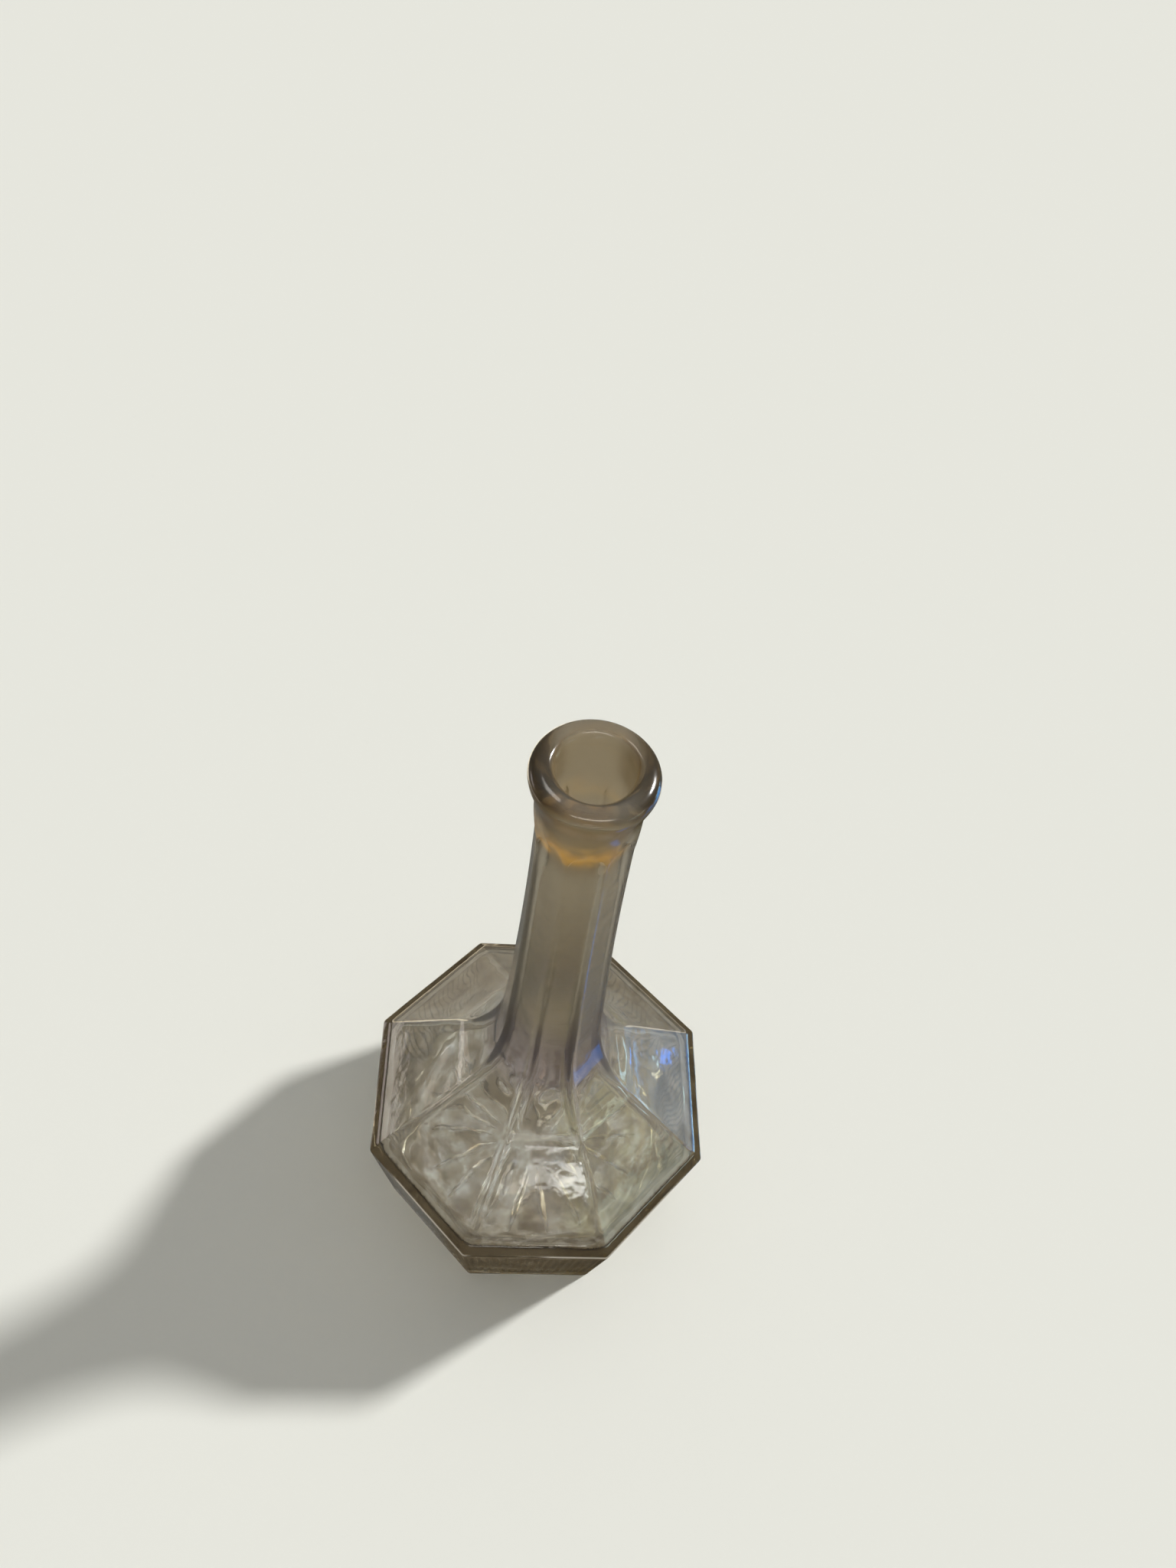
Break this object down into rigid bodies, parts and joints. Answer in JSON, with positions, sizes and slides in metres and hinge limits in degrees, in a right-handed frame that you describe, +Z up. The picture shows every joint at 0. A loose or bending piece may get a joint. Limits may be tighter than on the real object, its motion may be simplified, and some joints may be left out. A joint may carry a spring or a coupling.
{
  "type": "decorative bottle",
  "caption": "Octagonal smoked glass bottle with ribbed tapering walls, a faceted shoulder flowing into a long panelled neck, a rolled lip and a rayed star under the base.",
  "frame": {"origin": "middle of the rest face, on the bottle's axis", "axes": "+Z up the neck, -Y out of the flat side nearest the viewer, +X to the viewer's right, flats across X and Y"},
  "size_m": [0.1, 0.1, 0.213],
  "materials": {
    "smoke_glass": "grey brown smoked soda glass, glossy, with a thin lustre that shows blue and violet at grazing light"
  },
  "bodies": {
    "root": {"starred_base": "smoke_glass", "ribbed_wall": "smoke_glass", "faceted_shoulder": "smoke_glass", "panelled_neck": "smoke_glass", "lip_ring": "smoke_glass"}
  },
  "joints": []
}
